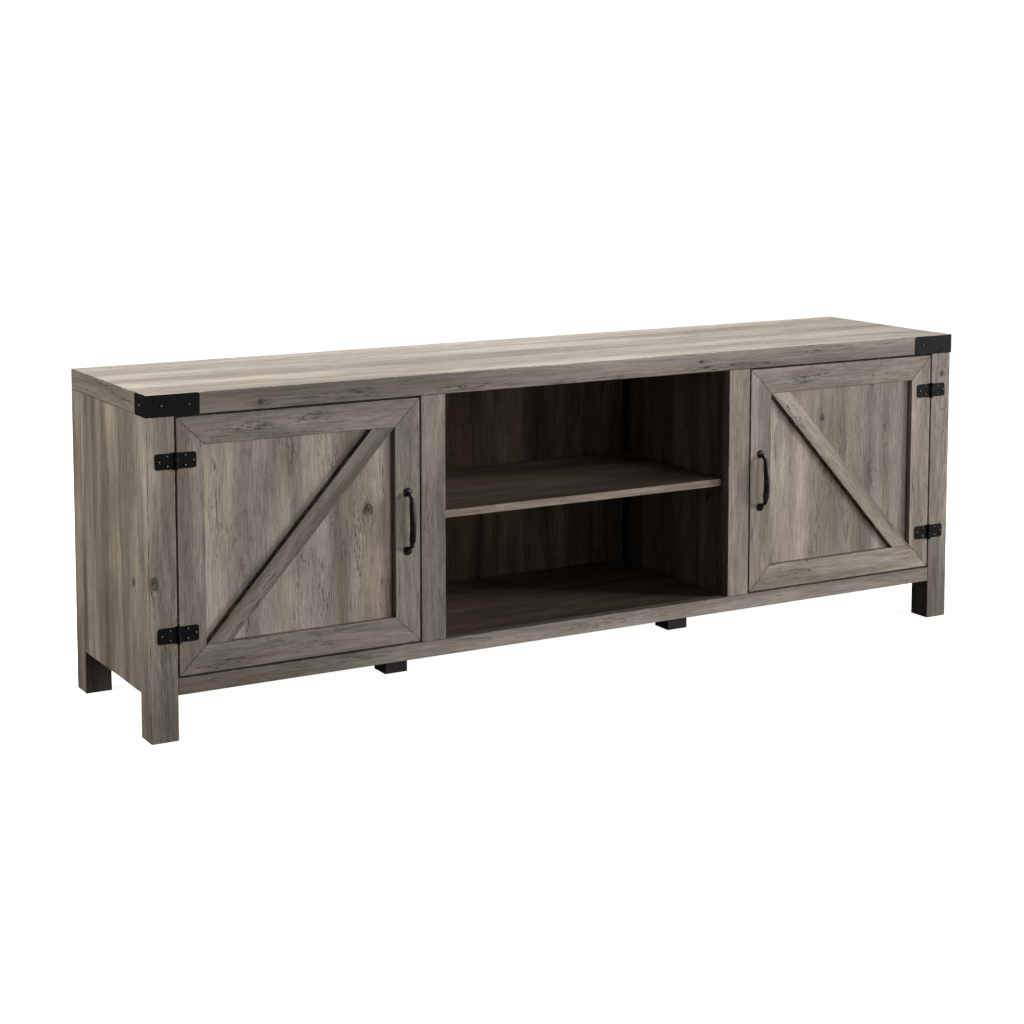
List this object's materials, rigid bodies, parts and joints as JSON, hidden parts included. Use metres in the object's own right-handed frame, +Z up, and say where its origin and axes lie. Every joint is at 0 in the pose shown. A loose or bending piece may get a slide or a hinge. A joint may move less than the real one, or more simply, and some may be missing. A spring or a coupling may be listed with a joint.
{
  "type": "tv stand",
  "caption": "Low wide media cabinet on square legs: thick top, open bay with a shelf, and a framed and braced door on surface hinges at each side.",
  "frame": {"origin": "on the floor, under the middle of the overall box with the doors closed", "axes": "+X along the width to the right seen from the front, +Y to the rear, +Z up; the doors face -Y"},
  "size_m": [1.7848, 0.428, 0.604],
  "materials": {
    "top_board": "satin",
    "case_board": "satin",
    "door_board": "satin",
    "shelf_board": "satin",
    "back_board": "matte",
    "foot_block": "matte",
    "black_iron": "satin",
    "zinc_steel": "satin",
    "dark_plastic": "matte",
    "beech": "matte"
  },
  "bodies": {
    "cabinet": {"top_slab": "top_board", "front_leg_left": "case_board", "front_leg_right": "case_board", "rear_leg_left": "case_board", "rear_leg_right": "case_board", "side_panel_left": "case_board", "side_panel_right": "case_board", "divider_left": "case_board", "divider_right": "case_board", "centre_stile_left": "case_board", "centre_stile_right": "case_board", "floor_board": "case_board", "bottom_rail": "case_board", "rear_stretcher": "case_board", "back_panel_left": "back_board", "back_panel_centre": "back_board", "back_panel_right": "back_board", "back_joiners": "dark_plastic", "middle_foot_left": "foot_block", "middle_foot_right": "foot_block", "centre_shelf": "shelf_board", "cabinet_shelf_left": "shelf_board", "cabinet_shelf_right": "shelf_board", "shelf_pins": "zinc_steel", "corner_bracket_left": "black_iron", "corner_bracket_right": "black_iron", "leg_leaf_left_top": "black_iron", "leg_leaf_left_bottom": "black_iron", "leg_leaf_right_top": "black_iron", "leg_leaf_right_bottom": "black_iron", "hinge_pins": "black_iron", "wood_screws": "black_iron", "door_catches": "dark_plastic", "dowels": "beech", "cam_fittings": "zinc_steel", "panel_nails": "zinc_steel"},
    "left_door": {"left_hinge_stile": "door_board", "left_handle_stile": "door_board", "left_top_rail": "door_board", "left_bottom_rail": "door_board", "left_panel": "door_board", "left_brace": "door_board", "left_handle": "black_iron", "left_handle_screws": "zinc_steel", "left_leaf_top": "black_iron", "left_leaf_bottom": "black_iron", "left_hinge_screws": "black_iron", "left_strike": "zinc_steel"},
    "right_door": {"right_hinge_stile": "door_board", "right_handle_stile": "door_board", "right_top_rail": "door_board", "right_bottom_rail": "door_board", "right_panel": "door_board", "right_brace": "door_board", "right_handle": "black_iron", "right_handle_screws": "zinc_steel", "right_leaf_top": "black_iron", "right_leaf_bottom": "black_iron", "right_hinge_screws": "black_iron", "right_strike": "zinc_steel"}
  },
  "joints": [
    {"name": "left_door_hinge", "type": "hinge", "parent": "cabinet", "child": "left_door", "pos_m": [-0.8375, -0.1894, 0.338], "axis": [0, 0, -1], "range_deg": [0, 170]},
    {"name": "right_door_hinge", "type": "hinge", "parent": "cabinet", "child": "right_door", "pos_m": [0.8375, -0.1894, 0.338], "axis": [0, 0, 1], "range_deg": [0, 170]}
  ]
}
